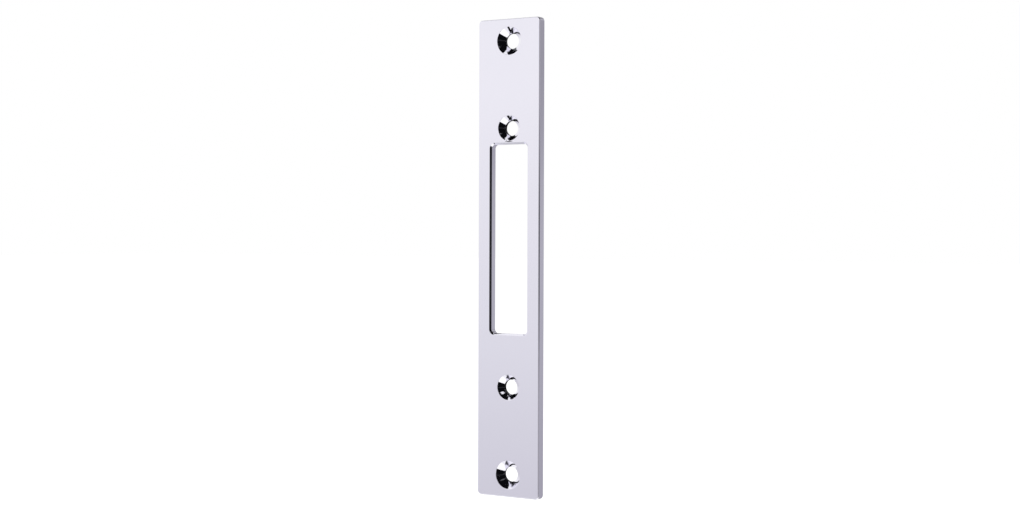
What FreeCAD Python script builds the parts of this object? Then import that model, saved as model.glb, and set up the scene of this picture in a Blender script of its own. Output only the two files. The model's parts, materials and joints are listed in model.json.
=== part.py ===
import FreeCAD, Part
import math
import os

# A flat door strike plate: one bar of metal with a tall slot for the bolt and four countersunk
# screw holes on its centre line.
#
# Frame, in millimetres: Z runs up the plate, X across it and Y from its front face to its back.
# The back face, which seats on the door frame, is the plane Y = 0. The origin is on that face,
# midway between the two screws of each pair.

# Plate blank
plate_length = 165.3
plate_width = 25.0
plate_thickness = 3.0
corner_radius = 1.4
front_arris_radius = 0.45
back_arris_radius = 0.2

# Bolt slot, straight through the plate, with a chamfered mouth on the front
slot_length = 65.5
slot_width = 14.5
slot_corner_radius = 1.4
slot_mouth_chamfer = 0.6
slot_rise = 6.5

# Screw holes: the end pair is set in from the plate's ends, and the inner pair stands clear of
# the slot by a narrow bridge of metal
screw_hole_diameter = 5.2
countersink_angle = 90.0
countersink_rim_radius = 0.15
end_screw_margin = 7.65
end_countersink_diameter = 9.8
inner_countersink_diameter = 8.8
screw_bridge = 0.55

# Heights and planes that follow from the sizes above
front_plane = -plate_thickness
back_plane = 0.0
slot_mouth_top = slot_rise + slot_length / 2 + slot_mouth_chamfer
inner_screw_height = slot_mouth_top + screw_bridge + inner_countersink_diameter / 2
end_screw_height = plate_length / 2 - end_screw_margin

# How far a cutting tool stands out of the plate, and how near a face counts as in a plane
tool_overrun = 1.0
plane_tolerance = 0.001


def spoke(degrees):
    """Unit vector in the plane of the plate, turned from +X towards +Z."""
    angle = math.radians(degrees)
    return FreeCAD.Vector(math.cos(angle), 0, math.sin(angle))


def rounded_block(width, length, radius, middle_height, near, far):
    """Prism with a rounded rectangle as its outline, running from Y = near to Y = far."""
    arcs = []
    for quarter, (side, end) in enumerate(((1, 1), (-1, 1), (-1, -1), (1, -1))):
        centre = FreeCAD.Vector(
            side * (width / 2 - radius),
            near,
            middle_height + end * (length / 2 - radius),
        )
        arcs.append([centre + spoke(90 * quarter + turn) * radius for turn in (0, 45, 90)])
    outline = []
    for arc, following in zip(arcs, arcs[1:] + arcs[:1]):
        outline.append(Part.Arc(*arc).toShape())
        outline.append(Part.LineSegment(arc[-1], following[0]).toShape())
    return Part.Face(Part.Wire(outline)).extrude(FreeCAD.Vector(0, far - near, 0))


def flat_face(shape, plane):
    """Face of a shape that lies wholly in the plane Y = plane."""
    for face in shape.Faces:
        box = face.BoundBox
        if max(abs(box.YMin - plane), abs(box.YMax - plane)) < plane_tolerance:
            return face
    raise ValueError(f"no flat face at Y = {plane}")


def outer_edges(shape, plane):
    """Edges round the outside of the face at Y = plane."""
    return flat_face(shape, plane).OuterWire.Edges


def opening_edges(shape, plane):
    """Edges of the openings in the face at Y = plane."""
    face = flat_face(shape, plane)
    openings = [wire for wire in face.Wires if not wire.isSame(face.OuterWire)]
    return [edge for wire in openings for edge in wire.Edges]


def slotted_plate():
    """Plate with its bolt slot cut, its arrises rounded and the slot's mouth chamfered."""
    plate = rounded_block(plate_width, plate_length, corner_radius, 0, front_plane, back_plane)
    slot = rounded_block(
        slot_width,
        slot_length,
        slot_corner_radius,
        slot_rise,
        front_plane - tool_overrun,
        back_plane + tool_overrun,
    )
    plate = plate.cut(slot)
    plate = plate.makeFillet(front_arris_radius, outer_edges(plate, front_plane))
    plate = plate.makeChamfer(slot_mouth_chamfer, opening_edges(plate, front_plane))
    back_rims = outer_edges(plate, back_plane) + opening_edges(plate, back_plane)
    return plate.makeFillet(back_arris_radius, back_rims)


def screw_tool(countersink_diameter, height):
    """Solid of one countersunk hole: its half section turned about the screw's axis.

    The countersink's diameter is measured at the sharp corner between its cone and the front
    face, and an arc tangent to both rounds that corner.
    """
    slope = math.radians(90 - countersink_angle / 2)
    mouth = countersink_diameter / 2
    bore = screw_hole_diameter / 2
    cone_depth = (mouth - bore) * math.tan(slope)
    rim = countersink_rim_radius
    rim_run = rim * math.tan(slope / 2)

    def at(radius, depth):
        return FreeCAD.Vector(radius, front_plane + depth, 0)

    rim_start = at(mouth + rim_run, 0)
    rim_middle = at(mouth + rim_run - rim * math.sin(slope / 2), rim - rim * math.cos(slope / 2))
    rim_end = at(mouth - rim_run * math.cos(slope), rim_run * math.sin(slope))
    throat = at(bore, cone_depth)
    tool_front = -tool_overrun
    tool_back = plate_thickness + cone_depth + tool_overrun
    front_run = Part.makePolygon([at(0, tool_front), at(mouth + rim_run, tool_front), rim_start])
    rounded_rim = Part.Arc(rim_start, rim_middle, rim_end).toShape()
    back_run = Part.makePolygon(
        [rim_end, throat, at(bore, tool_back), at(0, tool_back), at(0, tool_front)]
    )
    section = Part.Face(Part.Wire(front_run.Edges + [rounded_rim] + back_run.Edges))
    tool = section.revolve(FreeCAD.Vector(0, 0, 0), FreeCAD.Vector(0, 1, 0), 360)
    tool.translate(FreeCAD.Vector(0, 0, height))
    return tool


def strike_plate():
    """The finished plate, with both pairs of screw holes."""
    screw_pairs = (
        (end_countersink_diameter, end_screw_height),
        (inner_countersink_diameter, inner_screw_height),
    )
    tools = [screw_tool(size, end * height) for size, height in screw_pairs for end in (1, -1)]
    (solid,) = slotted_plate().cut(tools).Solids
    return solid


os.makedirs("parts", exist_ok=True)
strike_plate().exportStep("parts/strike_plate.step")
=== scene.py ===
"""A flat door strike plate in polished chrome, in a plain white studio."""

import json
import logging
import math
from dataclasses import dataclass
from enum import Enum

import bmesh
import bpy
from mathutils import Matrix, Quaternion, Vector


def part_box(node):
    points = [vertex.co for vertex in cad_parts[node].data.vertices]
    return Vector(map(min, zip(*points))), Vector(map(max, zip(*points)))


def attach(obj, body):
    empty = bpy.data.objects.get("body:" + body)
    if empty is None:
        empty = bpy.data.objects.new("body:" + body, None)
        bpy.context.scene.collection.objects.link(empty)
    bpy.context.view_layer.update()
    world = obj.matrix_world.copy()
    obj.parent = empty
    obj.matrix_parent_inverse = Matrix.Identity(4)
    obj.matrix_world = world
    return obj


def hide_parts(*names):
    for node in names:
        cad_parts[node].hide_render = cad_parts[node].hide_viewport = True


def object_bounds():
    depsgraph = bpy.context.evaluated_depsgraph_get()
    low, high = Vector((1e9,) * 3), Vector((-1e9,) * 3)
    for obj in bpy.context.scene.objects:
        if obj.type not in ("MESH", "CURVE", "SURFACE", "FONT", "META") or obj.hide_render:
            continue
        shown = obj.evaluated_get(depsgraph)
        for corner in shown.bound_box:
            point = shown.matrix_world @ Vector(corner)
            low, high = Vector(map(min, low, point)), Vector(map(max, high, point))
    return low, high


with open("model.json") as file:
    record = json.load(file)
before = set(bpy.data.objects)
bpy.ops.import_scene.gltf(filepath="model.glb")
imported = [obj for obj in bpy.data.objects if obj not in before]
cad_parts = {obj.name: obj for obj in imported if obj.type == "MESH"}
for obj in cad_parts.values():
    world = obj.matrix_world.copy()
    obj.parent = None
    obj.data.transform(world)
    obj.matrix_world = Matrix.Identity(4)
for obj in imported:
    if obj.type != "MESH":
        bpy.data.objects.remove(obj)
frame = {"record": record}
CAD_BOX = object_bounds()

log = logging.getLogger("strike_plate")

PLATE_NODE = "strike_plate"
PLATE_BODY = "root"
# Vertex mark of the screw holes' bores, where the chrome's colour is painted shade
BORE_SHADE_MARK = "bore"

MM = 0.001
QUARTER_TURN = math.pi / 2
FULL_TURN = 2 * math.pi
RIGHT = Vector((1, 0, 0))
THROUGH = Vector((0, 1, 0))
UP = Vector((0, 0, 1))

# Side and end of each corner of an outline, from the upper right towards the upper left and on
CORNER_WAYS = ((1, 1), (-1, 1), (-1, -1), (1, -1))

# Numbers of the colour sockets of Blender's Mix node
MIX_FIRST = 6
MIX_SECOND = 7
MIX_RESULT = 2

Span = tuple[float, float]
Triple = tuple[float, float, float]
Colour = tuple[float, float, float, float]


class Face(Enum):
    """One of the plate's two flat faces, with the way it points."""

    FRONT = -1
    BACK = 1


class Ray(Enum):
    """A kind of light path that sees the white surroundings."""

    CAMERA = "Is Camera Ray"
    GLOSSY = "Is Glossy Ray"
    TRANSMISSION = "Is Transmission Ray"


class Tone(Enum):
    """An even colour that a studio screen glows in."""

    BLACK = (0.004, 0.004, 0.005)
    SOFT_BLACK = (0.025, 0.025, 0.027)
    SHADE = (0.08, 0.08, 0.085)
    DARK_GREY = (0.14, 0.14, 0.145)
    HALF_SHADE = (0.40, 0.39, 0.42)
    LIGHT_GREY = (0.64, 0.64, 0.66)
    WHITE = (1.0, 1.0, 1.0)
    BRIGHT = (1.2, 1.2, 1.15)


class Fade(Enum):
    """Colours that a studio screen blends between, by height in metres."""

    PALE = {
        -0.75: (0.70, 0.69, 0.73),
        -0.31: (0.825, 0.82, 0.845),
        0.38: (0.975, 0.97, 0.97),
    }
    GREY = {
        -0.65: (0.42, 0.41, 0.455),
        -0.08: (0.49, 0.48, 0.525),
        0.13: (0.46, 0.45, 0.49),
        0.28: (0.39, 0.38, 0.42),
        0.48: (0.355, 0.345, 0.38),
        1.40: (0.50, 0.49, 0.52),
        1.80: (0.50, 0.49, 0.52),
        2.45: (0.14, 0.14, 0.145),
        3.85: (0.05, 0.05, 0.05),
    }
    EDGE_SHADE = {
        -0.43: (0.45, 0.44, 0.47),
        -0.16: (0.16, 0.16, 0.17),
        0.08: (0.16, 0.16, 0.17),
        0.35: (0.45, 0.44, 0.47),
    }
    EDGE_HALF_SHADE = {
        -0.43: (0.45, 0.44, 0.47),
        -0.16: (0.30, 0.30, 0.32),
        0.08: (0.18, 0.18, 0.19),
        0.35: (0.45, 0.44, 0.47),
    }


class Row(Enum):
    """How far a studio screen stands from its centre, in metres.

    A screen in the front row hides what is behind it in the back row. A close screen is one that
    the camera sees in one countersink alone.
    """

    BACK = 4.0
    FRONT = 3.9
    CLOSE = 0.022


@dataclass
class NodeSheet:
    """The node tree of a material or world, with short ways to add and join its nodes."""

    owner: bpy.types.Material | bpy.types.World

    @classmethod
    def of_material(cls, name: str) -> "NodeSheet":
        """Start an empty node tree in a new material.

        Args:
            name: Name of the material.

        Returns:
            The sheet of the material's tree.
        """
        return cls(bpy.data.materials.new(name))

    def __post_init__(self) -> None:
        """Empty the owner's node tree."""
        self.owner.use_nodes = True
        self.tree.nodes.clear()

    @property
    def tree(self) -> bpy.types.NodeTree:
        """The owner's node tree."""
        return self.owner.node_tree

    def add(
        self, kind: str, inputs: dict[str | int, object] | None = None, **settings: object
    ) -> bpy.types.Node:
        """Add a node.

        Args:
            kind: Blender's type name of the node.
            inputs: Values or output sockets for its inputs, by name or number.
            settings: Properties of the node itself.

        Returns:
            The new node.
        """
        node = self.tree.nodes.new(kind)
        for name, value in settings.items():
            setattr(node, name, value)
        for key, value in (inputs or {}).items():
            if isinstance(value, bpy.types.NodeSocket):
                self.tree.links.new(value, node.inputs[key])
            else:
                node.inputs[key].default_value = value
        return node

    def sum_of(self, terms: list[bpy.types.NodeSocket]) -> bpy.types.NodeSocket:
        """Add up several numbers.

        Args:
            terms: Output sockets to add.

        Returns:
            The socket of their sum.
        """
        total = terms[0]
        for term in terms[1:]:
            total = self.add("ShaderNodeMath", {0: total, 1: term}, operation="ADD").outputs[0]
        return total

    def mix_of(
        self, share: bpy.types.NodeSocket, first: Colour | bpy.types.NodeSocket, second: Colour
    ) -> bpy.types.NodeSocket:
        """Mix two colours.

        Args:
            share: Socket of the second colour's share.
            first: First colour, or its socket.
            second: Second colour.

        Returns:
            The socket of the mixed colour.
        """
        inputs = {"Factor": share, MIX_FIRST: first, MIX_SECOND: second}
        return self.add("ShaderNodeMix", inputs, data_type="RGBA").outputs[MIX_RESULT]

    def seen_rays(self) -> bpy.types.NodeSocket:
        """Find the rays that see the white surroundings.

        Returns:
            A socket that is 1 for those rays and 0 for rays that only carry light.
        """
        path = self.add("ShaderNodeLightPath")
        return self.sum_of([path.outputs[ray.value] for ray in Ray])


@dataclass(frozen=True)
class PolishedChrome:
    """Bright chrome plate over buffed steel.

    The plate is a mirror with a faint cool tint. Its gloss varies a little in soft clouds and in
    hairlines left by the buffing wheel along the plate, and the cut walls carry fine tool lines
    at constant depth, which run as rings round the countersinks. The bores of the screw holes
    carry painted shade: their colour is near black.
    """

    tint: Colour = (0.865, 0.852, 0.935, 1.0)
    haze_tint: Colour = (0.850, 0.840, 0.925, 1.0)
    # Painted shade: near-black colour painted on the bores' walls
    bore_painted_shade: Colour = (0.004, 0.004, 0.005, 1.0)
    cloud_scale: float = 55.0
    gloss: Span = (0.035, 0.060)
    hairline_density: Triple = (7000.0, 300.0, 90.0)
    hairline_gloss: Span = (0.0, 0.030)
    tool_line_density: Triple = (60.0, 9000.0, 60.0)
    tool_line_height: float = 0.15e-6
    ripple_scale: float = 140.0
    ripple_height: float = 1.2e-6
    noise_detail: float = 2.0
    noise_range: Span = (0.3, 0.7)

    def material(self) -> bpy.types.Material:
        """Make the finish as a node material.

        Returns:
            The material.
        """
        sheet = NodeSheet.of_material("buffed_chrome")
        place = sheet.add("ShaderNodeTexCoord").outputs["Object"]
        clouds = self._noise(sheet, place, self.cloud_scale)
        hairlines = self._noise(sheet, self._stretched(sheet, place, self.hairline_density))
        tool_lines = self._noise(sheet, self._stretched(sheet, place, self.tool_line_density))
        ripple = self._noise(sheet, place, self.ripple_scale)
        tint = sheet.mix_of(clouds, self.tint, self.haze_tint)
        # Mark of the bores, where the colour turns to painted shade
        bore = sheet.add("ShaderNodeAttribute", attribute_name=BORE_SHADE_MARK).outputs["Fac"]
        gloss = sheet.sum_of(
            [
                self._spread(sheet, clouds, self.gloss),
                self._spread(sheet, hairlines, self.hairline_gloss),
            ]
        )
        waves = sheet.add("ShaderNodeBump", {"Height": ripple, "Distance": self.ripple_height})
        lines = sheet.add(
            "ShaderNodeBump",
            {
                "Height": tool_lines,
                "Distance": self.tool_line_height,
                "Normal": waves.outputs["Normal"],
            },
        )
        shader = sheet.add(
            "ShaderNodeBsdfPrincipled",
            {
                # The bores take the painted shade colour in place of the chrome tint
                "Base Color": sheet.mix_of(bore, tint, self.bore_painted_shade),
                "Metallic": 1.0,
                "Roughness": gloss,
                "Normal": lines.outputs["Normal"],
            },
        )
        sheet.add("ShaderNodeOutputMaterial", {"Surface": shader.outputs["BSDF"]})
        return sheet.owner

    @staticmethod
    def _stretched(
        sheet: NodeSheet, place: bpy.types.NodeSocket, density: Triple
    ) -> bpy.types.NodeSocket:
        """Scale a place unevenly, for marks that run one way.

        Args:
            sheet: Node sheet of the finish.
            place: Socket of the place on the plate.
            density: Marks to the metre along X, Y and Z.

        Returns:
            The socket of the scaled place.
        """
        return sheet.add("ShaderNodeMapping", {"Vector": place, "Scale": density}).outputs[0]

    def _noise(
        self, sheet: NodeSheet, place: bpy.types.NodeSocket, scale: float = 1.0
    ) -> bpy.types.NodeSocket:
        """Add a soft noise.

        Args:
            sheet: Node sheet of the finish.
            place: Socket of the place on the plate.
            scale: Blots to the unit of that place.

        Returns:
            The socket of the noise, from 0 to 1.
        """
        inputs = {"Vector": place, "Scale": scale, "Detail": self.noise_detail}
        return sheet.add("ShaderNodeTexNoise", inputs).outputs[0]

    def _spread(
        self, sheet: NodeSheet, noise: bpy.types.NodeSocket, ends: Span
    ) -> bpy.types.NodeSocket:
        """Stretch a noise over a range of values.

        Args:
            sheet: Node sheet of the finish.
            noise: Socket of the noise.
            ends: Values at the noise's usual low and high.

        Returns:
            The socket of the value.
        """
        low, high = self.noise_range
        inputs = {
            "Value": noise,
            "From Min": low,
            "From Max": high,
            "To Min": ends[0],
            "To Max": ends[1],
        }
        return sheet.add("ShaderNodeMapRange", inputs).outputs[0]


@dataclass(frozen=True)
class Corner:
    """A corner in the section of a wall.

    outset is how far it lies outwards from the wall's outline, depth how far behind the front
    face, and radius rounds it off.
    """

    outset: float
    depth: float
    radius: float = 0.0


@dataclass(frozen=True)
class Outline:
    """A rounded rectangle in the plane of the plate, centred on the plate's centre line."""

    width: float
    length: float
    corner_radius: float
    middle_height: float = 0.0

    def quarter_centre(self, quarter: int) -> Vector:
        """Find the centre of one rounded corner.

        Args:
            quarter: Number of the corner, from the upper right towards the upper left and on.

        Returns:
            The centre, in the plane of the back face.
        """
        side, end = CORNER_WAYS[quarter % len(CORNER_WAYS)]
        across = side * (self.width / 2 - self.corner_radius)
        along = end * (self.length / 2 - self.corner_radius)
        return RIGHT * across + UP * (self.middle_height + along)


@dataclass
class StrikePlate:
    """The plate: a flat bar with a bolt slot and two pairs of countersunk screw holes."""

    width: float
    length: float
    front: float
    back: float
    end_screw_height: float
    inner_screw_height: float
    end_mouth_radius: float = 4.9 * MM
    inner_mouth_radius: float = 4.4 * MM
    corner_radius: float = 1.4 * MM
    front_arris: float = 0.45 * MM
    back_arris: float = 0.2 * MM
    slot_width: float = 14.5 * MM
    slot_length: float = 65.5 * MM
    slot_corner_radius: float = 1.4 * MM
    slot_rise: float = 6.5 * MM
    slot_chamfer: float = 0.6 * MM
    bore_radius: float = 2.6 * MM
    countersink_rim: float = 0.15 * MM
    broken_edge: float = 0.06 * MM
    land: float = 0.4 * MM
    corner_steps: int = 16
    hole_steps: int = 160
    arc_step: float = math.radians(7.5)
    bore_tolerance: float = 0.006 * MM
    merge_distance: float = 0.0006 * MM
    flat_weight: int = 100

    @classmethod
    def from_frame(cls) -> "StrikePlate":
        """Take the plate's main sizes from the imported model.

        Returns:
            The plate, with the model's outer sizes and screw places.
        """
        low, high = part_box(PLATE_NODE)
        mounts = {mount["name"]: mount["dims"] for mount in frame["record"]["mounts"]}
        return cls(
            width=high.x - low.x,
            length=high.z - low.z,
            front=low.y,
            back=high.y,
            end_screw_height=mounts["end_screws"]["spacing_y_mm"] / 2 * MM,
            inner_screw_height=mounts["inner_screws"]["spacing_y_mm"] / 2 * MM,
        )

    @property
    def screw_pairs(self) -> list[Span]:
        """Find the two pairs of screw holes.

        Returns:
            Height above or below the middle and radius of the mouth, for each pair.
        """
        return [
            (self.end_screw_height, self.end_mouth_radius),
            (self.inner_screw_height, self.inner_mouth_radius),
        ]

    @property
    def thickness(self) -> float:
        """Distance from the front face to the back face."""
        return self.back - self.front

    def build(self) -> bpy.types.Object:
        """Model the plate as one closed mesh.

        Returns:
            The plate's object, at the origin.
        """
        plate = bmesh.new()
        for wall in self._walls():
            self._take_in(plate, wall)
        for face in Face:
            self._fill(plate, face)
        bmesh.ops.recalc_face_normals(plate, faces=plate.faces)
        for face in plate.faces:
            face.smooth = True
        # Mark the bores' walls, which the finish covers with painted shade
        bore = plate.verts.layers.float.new(BORE_SHADE_MARK)
        for vert in plate.verts:
            vert[bore] = float(self._in_bore(vert.co))
        mesh = bpy.data.meshes.new("chrome_strike_plate")
        plate.to_mesh(mesh)
        plate.free()
        piece = bpy.data.objects.new(mesh.name, mesh)
        bpy.context.scene.collection.objects.link(piece)
        normals = piece.modifiers.new("flat_faces", "WEIGHTED_NORMAL")
        normals.mode = "FACE_AREA"
        normals.weight = self.flat_weight
        normals.keep_sharp = True
        return piece

    def dress(self, piece: bpy.types.Object, finish: PolishedChrome) -> None:
        """Give the plate its finish and its place in the frame.

        Args:
            piece: The plate's object.
            finish: The finish it wears.
        """
        piece.data.materials.append(finish.material())
        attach(piece, PLATE_BODY)
        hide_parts(PLATE_NODE)

    def _in_bore(self, place: Vector) -> bool:
        """Tell whether a place lies on the bore of a screw hole.

        Args:
            place: The place.

        Returns:
            True on a bore's wall.
        """
        reach = min(math.hypot(place.x, abs(place.z) - height) for height, _ in self.screw_pairs)
        return reach < self.bore_radius + self.bore_tolerance

    def _walls(self) -> list[bmesh.types.BMesh]:
        """Model the plate's outer wall, its slot and its screw holes.

        Returns:
            One open mesh for each wall, from the front face to the back face.
        """
        outside = Outline(self.width, self.length, self.corner_radius)
        slot = Outline(self.slot_width, self.slot_length, self.slot_corner_radius, self.slot_rise)
        walls = [
            self._run_round(outside, self._outside_section()),
            self._run_round(slot, self._slot_section()),
        ]
        for height, mouth in self.screw_pairs:
            for end in (1, -1):
                walls.append(self._turned_hole(end * height, self._hole_section(mouth)))
        return walls

    def _outside_section(self) -> list[Corner]:
        """Describe the section of the plate's outer edge.

        Returns:
            The section's corners, from the front face to the back face.
        """
        return [
            Corner(-self.front_arris - self.land, 0),
            Corner(0, 0, self.front_arris),
            Corner(0, self.thickness, self.back_arris),
            Corner(-self.back_arris - self.land, self.thickness),
        ]

    def _slot_section(self) -> list[Corner]:
        """Describe the section of the slot's wall with its chamfered mouth.

        Returns:
            The section's corners, from the front face to the back face.
        """
        return [
            Corner(self.slot_chamfer + self.land, 0),
            Corner(self.slot_chamfer, 0, self.broken_edge),
            Corner(0, self.slot_chamfer, self.broken_edge),
            Corner(0, self.thickness, self.back_arris),
            Corner(self.back_arris + self.land, self.thickness),
        ]

    def _hole_section(self, mouth: float) -> list[Corner]:
        """Describe the section of a countersunk hole.

        Args:
            mouth: Radius of the countersink in the front face.

        Returns:
            The section's corners, measured from the hole's axis.
        """
        return [
            Corner(mouth + self.land, 0),
            Corner(mouth, 0, self.countersink_rim),
            Corner(self.bore_radius, mouth - self.bore_radius, self.broken_edge),
            Corner(self.bore_radius, self.thickness, self.broken_edge),
            Corner(self.bore_radius + self.land, self.thickness),
        ]

    def _draw(self, section: list[Corner], start: Vector) -> bmesh.types.BMesh:
        """Draw a section as a line with rounded corners.

        Args:
            section: Corners of the section, from the front face to the back face.
            start: Place in the front face that the section is measured from.

        Returns:
            A mesh that holds the line alone.
        """
        mesh = bmesh.new()
        points = [
            mesh.verts.new(start + RIGHT * corner.outset + THROUGH * corner.depth)
            for corner in section
        ]
        for near, far in zip(points, points[1:]):
            mesh.edges.new((near, far))
        spots = [point.co.copy() for point in points]
        for number in range(1, len(section) - 1):
            before = spots[number] - spots[number - 1]
            after = spots[number + 1] - spots[number]
            turn = before.angle(after)
            bmesh.ops.bevel(
                mesh,
                geom=[points[number]],
                offset=section[number].radius * math.tan(turn / 2),
                offset_type="OFFSET",
                segments=math.ceil(turn / self.arc_step),
                profile=0.5,
                affect="VERTICES",
                material=-1,
            )
        return mesh

    def _run_round(self, outline: Outline, section: list[Corner]) -> bmesh.types.BMesh:
        """Run a section round a rounded rectangle.

        Args:
            outline: The rounded rectangle.
            section: Section of the wall that follows it.

        Returns:
            The wall, with its seam closed.
        """
        start = outline.quarter_centre(0) + RIGHT * outline.corner_radius + THROUGH * self.front
        wall = self._draw(section, start)
        edges = list(wall.edges)
        for quarter in range(len(CORNER_WAYS)):
            centre = outline.quarter_centre(quarter)
            verts = dict.fromkeys(vert for edge in edges for vert in edge.verts)
            bend = bmesh.ops.spin(
                wall,
                geom=[*verts, *edges],
                cent=centre,
                axis=-THROUGH,
                angle=QUARTER_TURN,
                steps=self.corner_steps,
            )
            edges = [item for item in bend["geom_last"] if isinstance(item, bmesh.types.BMEdge)]
            run = bmesh.ops.extrude_edge_only(wall, edges=edges)["geom"]
            bmesh.ops.translate(
                wall,
                verts=[item for item in run if isinstance(item, bmesh.types.BMVert)],
                vec=outline.quarter_centre(quarter + 1) - centre,
            )
            edges = [item for item in run if isinstance(item, bmesh.types.BMEdge)]
        bmesh.ops.remove_doubles(wall, verts=wall.verts, dist=self.merge_distance)
        return wall

    def _turned_hole(self, height: float, section: list[Corner]) -> bmesh.types.BMesh:
        """Turn a screw hole about its axis.

        Args:
            height: Height of the hole's axis.
            section: Section of the hole, measured from the axis.

        Returns:
            The hole's wall, with its seam closed.
        """
        axis = UP * height + THROUGH * self.front
        hole = self._draw(section, axis)
        bmesh.ops.spin(
            hole,
            geom=[*hole.verts, *hole.edges],
            cent=axis,
            axis=-THROUGH,
            angle=FULL_TURN,
            steps=self.hole_steps,
            use_merge=True,
        )
        return hole

    @staticmethod
    def _take_in(plate: bmesh.types.BMesh, wall: bmesh.types.BMesh) -> None:
        """Move a wall into the plate's mesh.

        Args:
            plate: Mesh of the plate.
            wall: Mesh of the wall, which is freed.
        """
        carrier = bpy.data.meshes.new("wall")
        wall.to_mesh(carrier)
        wall.free()
        plate.from_mesh(carrier)
        bpy.data.meshes.remove(carrier)

    def _fill(self, plate: bmesh.types.BMesh, face: Face) -> None:
        """Fill a flat face between the outer wall and the openings.

        Args:
            plate: Mesh of the plate.
            face: The face to fill.
        """
        level = self.front if face is Face.FRONT else self.back
        reach = self.thickness / 2
        rims = [
            edge
            for edge in plate.edges
            if edge.is_boundary and all(abs(vert.co.y - level) < reach for vert in edge.verts)
        ]
        bmesh.ops.triangle_fill(plate, use_beauty=True, edges=rims, normal=THROUGH * face.value)


@dataclass(frozen=True)
class Screen:
    """A curved studio screen, part of a sphere, which only the plate's mirror shows.

    Azimuths are in degrees from straight in front of the plate towards its right, elevations in
    degrees above level, both as seen from the sphere's centre.
    """

    name: str
    azimuths: Span
    elevations: Span
    paint: Tone | Fade
    row: Row = Row.BACK
    centre: Triple = (0.0, 0.0, 0.0)
    step: float = 4.0

    def build(self) -> bpy.types.Object:
        """Model the screen and make it seen by the mirror alone.

        Returns:
            The screen's object.
        """
        mesh = bmesh.new()
        foot = mesh.verts.new(-THROUGH * self.row.value)
        low, high = (math.radians(angle) for angle in self.elevations)
        left, right = (math.radians(angle) for angle in self.azimuths)
        bmesh.ops.rotate(mesh, verts=[foot], matrix=Matrix.Rotation(-low, 3, "X"))
        self._sweep(mesh, -RIGHT, high - low)
        bmesh.ops.rotate(mesh, verts=mesh.verts, matrix=Matrix.Rotation(left, 3, "Z"))
        self._sweep(mesh, UP, right - left)
        bmesh.ops.translate(mesh, verts=mesh.verts, vec=self.centre)
        screen = new_stage_object(self.name, mesh)
        screen.data.materials.append(self._material())
        screen.visible_camera = False
        screen.visible_diffuse = False
        screen.visible_shadow = False
        screen.visible_transmission = False
        return screen

    def _sweep(self, mesh: bmesh.types.BMesh, axis: Vector, angle: float) -> None:
        """Spin all of a mesh about an axis through the sphere's centre.

        Args:
            mesh: Mesh to spin.
            axis: The axis.
            angle: Angle of the sweep, in radians.
        """
        bmesh.ops.spin(
            mesh,
            geom=[*mesh.verts, *mesh.edges],
            cent=(0, 0, 0),
            axis=axis,
            angle=angle,
            steps=math.ceil(math.degrees(angle) / self.step),
        )

    def _material(self) -> bpy.types.Material:
        """Make the screen's glow, in one tone or blended by height.

        Returns:
            The material.
        """
        sheet = NodeSheet.of_material(self.name)
        even = isinstance(self.paint, Tone)
        colour = (*self.paint.value, 1.0) if even else self._blend(sheet)
        glow = sheet.add("ShaderNodeEmission", {"Color": colour, "Strength": 1.0})
        sheet.add("ShaderNodeOutputMaterial", {"Surface": glow.outputs[0]})
        return sheet.owner

    def _blend(self, sheet: NodeSheet) -> bpy.types.NodeSocket:
        """Blend the screen's colours by height.

        Args:
            sheet: Node sheet of the screen.

        Returns:
            The socket of the colour.
        """
        tones = self.paint.value
        foot, head = min(tones), max(tones)
        place = sheet.add("ShaderNodeTexCoord").outputs["Object"]
        height = sheet.add("ShaderNodeSeparateXYZ", {0: place}).outputs["Z"]
        climb = {"Value": height, "From Min": foot, "From Max": head}
        share = sheet.add("ShaderNodeMapRange", climb).outputs[0]
        ramp = sheet.add("ShaderNodeValToRGB", {"Fac": share})
        stops = ramp.color_ramp.elements
        stops.remove(stops[1])
        for level, tone in tones.items():
            stop = stops[0] if level == foot else stops.new((level - foot) / (head - foot))
            stop.color = (*tone, 1.0)
        return ramp.outputs["Color"]


@dataclass(frozen=True)
class SoftLamp:
    """A square soft lamp that points at the plate.

    glow is the brightness of its face, where 1 is white.
    """

    name: str
    place: Triple
    side: float
    glow: float

    def build(self) -> bpy.types.Object:
        """Hang the lamp.

        Returns:
            The lamp's object.
        """
        data = bpy.data.lights.new(self.name, "AREA")
        data.size = self.side
        data.energy = self.glow * math.pi * self.side**2
        lamp = bpy.data.objects.new(self.name, data)
        lamp.location = self.place
        lamp.rotation_euler = (-lamp.location).to_track_quat("-Z", "Y").to_euler()
        lamp.visible_glossy = False
        bpy.context.scene.collection.objects.link(lamp)
        return lamp


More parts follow.
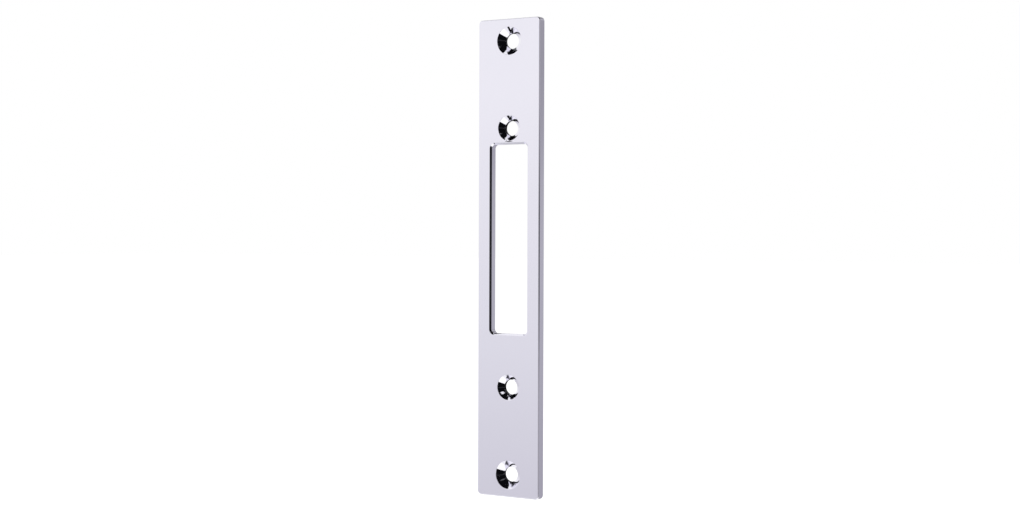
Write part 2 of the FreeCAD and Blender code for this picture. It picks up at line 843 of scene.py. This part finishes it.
@dataclass
class Studio:
    """A white room with a pale floor, soft lamps and the screens that the chrome mirrors.

    slit_hole is the height of the screw hole that mirrors the close slits of light. slit_wall is
    the place that those slits stand round, on the hole's left wall, measured from where the
    hole's axis meets the back face.
    """

    slit_hole: float
    slit_wall: Triple = (-3.4 * MM, -2.0 * MM, -1.4 * MM)
    floor_drop: float = 30 * MM
    floor_side: float = 12.0
    floor_tone: float = 0.8
    floor_glow: float = 0.5
    room_light: float = 0.7

    def build(self) -> None:
        """Set up the room, its floor, screens and lamps."""
        self._room()
        self._floor()
        fittings = (
            *self._walls(),
            *self._edge_shades(),
            *self._slits(),
            *self._canopy(),
            *self._table(),
            *self._lamps(),
        )
        for fitting in fittings:
            log.info("studio: %s", fitting.build().name)

    def _walls(self) -> list[Screen]:
        """Choose the large screens that stand round the plate.

        Returns:
            The screens to the left, at the camera's side and behind.
        """
        return [
            Screen("pale_side_screen", (-150, -8), (-25, 25), Fade.PALE),
            Screen("dark_camera_side", (32, 92), (-38, 78.5), Tone.BLACK),
            Screen("grey_rear_screen", (112, 215), (-40, 75), Fade.GREY),
        ]

    def _edge_shades(self) -> list[Screen]:
        """Choose the level screens that shade the plate's right arris and the slot's edge.

        Returns:
            The screens, from the front to the rear.
        """
        return [
            Screen("half_shaded_front_edge", (-26, 14), (-11, 10), Fade.EDGE_HALF_SHADE, Row.FRONT),
            Screen("shaded_front_edge", (14, 50), (-11, 10), Fade.EDGE_SHADE, Row.FRONT),
            Screen("shaded_slot_edge", (50, 62.5), (-3.4, 3.0), Tone.SOFT_BLACK, Row.FRONT),
            Screen("shaded_rear_edge", (62.5, 112), (-11, 10), Fade.EDGE_SHADE, Row.FRONT),
        ]

    def _slits(self) -> list[Screen]:
        """Choose the slits of light in the dark camera side.

        Returns:
            A close slit in two parts for one screw hole, and a faint one for all the holes.
        """
        across, depth, rise = self.slit_wall
        wall = (across, depth, self.slit_hole + rise)
        return [
            Screen("lower_slit_of_light", (46.5, 54), (32.5, 41), Tone.WHITE, Row.CLOSE, wall),
            Screen("upper_slit_of_light", (43, 52), (41, 51), Tone.WHITE, Row.CLOSE, wall),
            Screen("faint_slit_of_light", (47, 51.5), (34.5, 43), Tone.DARK_GREY, Row.FRONT),
        ]

    def _canopy(self) -> list[Screen]:
        """Choose the dark screens overhead.

        Returns:
            The screens, from the camera's side to the far left.
        """
        return [
            Screen("dark_front_canopy", (13, 32), (24.5, 78.5), Tone.BLACK),
            Screen("dark_front_valance", (7.2, 13), (13, 78.5), Tone.BLACK),
            Screen("dark_front_corner", (1.5, 7.2), (29.5, 78.5), Tone.BLACK),
            Screen("dark_inner_corner", (-6, 1.5), (43, 78.5), Tone.BLACK),
            Screen("dark_side_canopy", (-38, -6), (50, 76), Tone.BLACK),
            Screen("dark_far_canopy", (-70, -38), (50, 71.5), Tone.BLACK),
            Screen("dark_left_canopy", (-130, -104), (28, 55), Tone.DARK_GREY),
        ]

    def _table(self) -> list[Screen]:
        """Choose the screens below, which stand for a table in front of the plate.

        Returns:
            The screens, from the table's edge to its far side.
        """
        return [
            Screen("dark_table_edge", (-8, 14.5), (-32.5, -21.5), Tone.BLACK),
            Screen("near_table_edge", (13, 23.5), (-32, -22.5), Tone.SHADE, Row.FRONT),
            Screen("half_shaded_table_edge", (23.5, 28), (-33, -21.5), Tone.HALF_SHADE),
            Screen("bright_table_top", (-5, 60), (-80, -38.5), Tone.BRIGHT),
            Screen("dark_table_front", (-80, -52), (-69, -56), Tone.BLACK),
            Screen("grey_table_side", (-130, -80), (-69, -50), Tone.LIGHT_GREY),
        ]

    def _lamps(self) -> list[SoftLamp]:
        """Choose the lamps.

        Returns:
            One lamp overhead and one to the left.
        """
        return [
            SoftLamp("overhead_softbox", place=(-0.15, -0.10, 1.2), side=0.8, glow=1.1),
            SoftLamp("left_softbox", place=(-1.2, 0.1, 0.7), side=0.7, glow=1.0),
        ]

    def _room(self) -> None:
        """Make the white room, which lights other surfaces more softly than it is seen."""
        world = bpy.data.worlds.new("white_room")
        bpy.context.scene.world = world
        sheet = NodeSheet(world)
        paint = (*Tone.WHITE.value, 1.0)
        light = sheet.add("ShaderNodeBackground", {"Color": paint, "Strength": self.room_light})
        white = sheet.add("ShaderNodeBackground", {"Color": paint, "Strength": 1.0})
        room = sheet.add(
            "ShaderNodeMixShader", {0: sheet.seen_rays(), 1: light.outputs[0], 2: white.outputs[0]}
        )
        sheet.add("ShaderNodeOutputWorld", {"Surface": room.outputs[0]})

    def _floor(self) -> None:
        """Lay the pale floor below the plate, out of sight of the chrome."""
        mesh = bmesh.new()
        bmesh.ops.create_grid(mesh, x_segments=1, y_segments=1, size=self.floor_side / 2)
        bmesh.ops.translate(mesh, verts=mesh.verts, vec=UP * (CAD_BOX[0].z - self.floor_drop))
        floor = new_stage_object("pale_floor", mesh)
        floor.visible_glossy = False
        sheet = NodeSheet.of_material("pale_floor")
        tone = (self.floor_tone, self.floor_tone, self.floor_tone, 1.0)
        paint = sheet.add("ShaderNodeBsdfDiffuse", {"Color": tone})
        strength = sheet.add(
            "ShaderNodeMath", {0: sheet.seen_rays(), 1: self.floor_glow}, operation="MULTIPLY"
        )
        glow = sheet.add("ShaderNodeEmission", {"Strength": strength.outputs[0]})
        surface = sheet.add("ShaderNodeAddShader", {0: paint.outputs[0], 1: glow.outputs[0]})
        sheet.add("ShaderNodeOutputMaterial", {"Surface": surface.outputs[0]})
        floor.data.materials.append(sheet.owner)


@dataclass(frozen=True)
class PhotoCamera:
    """The camera at the photograph's viewing angle, level, with the plate's axis before it.

    The focal length and the middle of the lens are in pixels of the photograph, and roll is how
    far the camera leans anticlockwise, in degrees.
    """

    azimuth: float = 32.08
    roll: float = 0.18
    distance: float = 584.4 * MM
    height: float = 9.0 * MM
    focal_pixels: float = 1684.7
    lens_middle: Span = (513.15, 231.75)
    image_size: tuple[int, int] = (1020, 510)
    nearest_seen: float = 11.688 * MM

    def build(self) -> bpy.types.Object:
        """Set up the camera.

        Returns:
            The camera's object.
        """
        width, height = self.image_size
        data = bpy.data.cameras.new("photo_camera")
        data.lens = data.sensor_width * self.focal_pixels / width
        data.shift_x = (width / 2 - self.lens_middle[0]) / width
        data.shift_y = (self.lens_middle[1] - height / 2) / width
        data.clip_start = self.nearest_seen
        camera = bpy.data.objects.new(data.name, data)
        bearing = math.radians(self.azimuth)
        outwards = RIGHT * math.sin(bearing) - THROUGH * math.cos(bearing)
        camera.location = outwards * self.distance + UP * self.height
        level = (-outwards).to_track_quat("-Z", "Y")
        camera.rotation_euler = (level @ Quaternion(UP, math.radians(self.roll))).to_euler()
        bpy.context.scene.collection.objects.link(camera)
        bpy.context.scene.camera = camera
        return camera


def new_stage_object(name: str, mesh: bmesh.types.BMesh) -> bpy.types.Object:
    """Turn a mesh into an object of the stage.

    Args:
        name: Name of the object.
        mesh: Its mesh, which is freed.

    Returns:
        The object.
    """
    data = bpy.data.meshes.new(name)
    mesh.to_mesh(data)
    mesh.free()
    stage_object = bpy.data.objects.new(name, data)
    bpy.context.scene.collection.objects.link(stage_object)
    return stage_object


def main() -> None:
    """Build the plate, the studio and the camera."""
    logging.basicConfig(level=logging.INFO, format="%(message)s")
    bpy.context.scene.view_settings.view_transform = "Standard"
    plate = StrikePlate.from_frame()
    piece = plate.build()
    plate.dress(piece, PolishedChrome())
    log.info("piece: %s, %d faces", piece.name, len(piece.data.polygons))
    Studio(slit_hole=-plate.inner_screw_height).build()
    log.info("camera: %s", PhotoCamera().build().name)


if __name__ == "__main__":
    main()
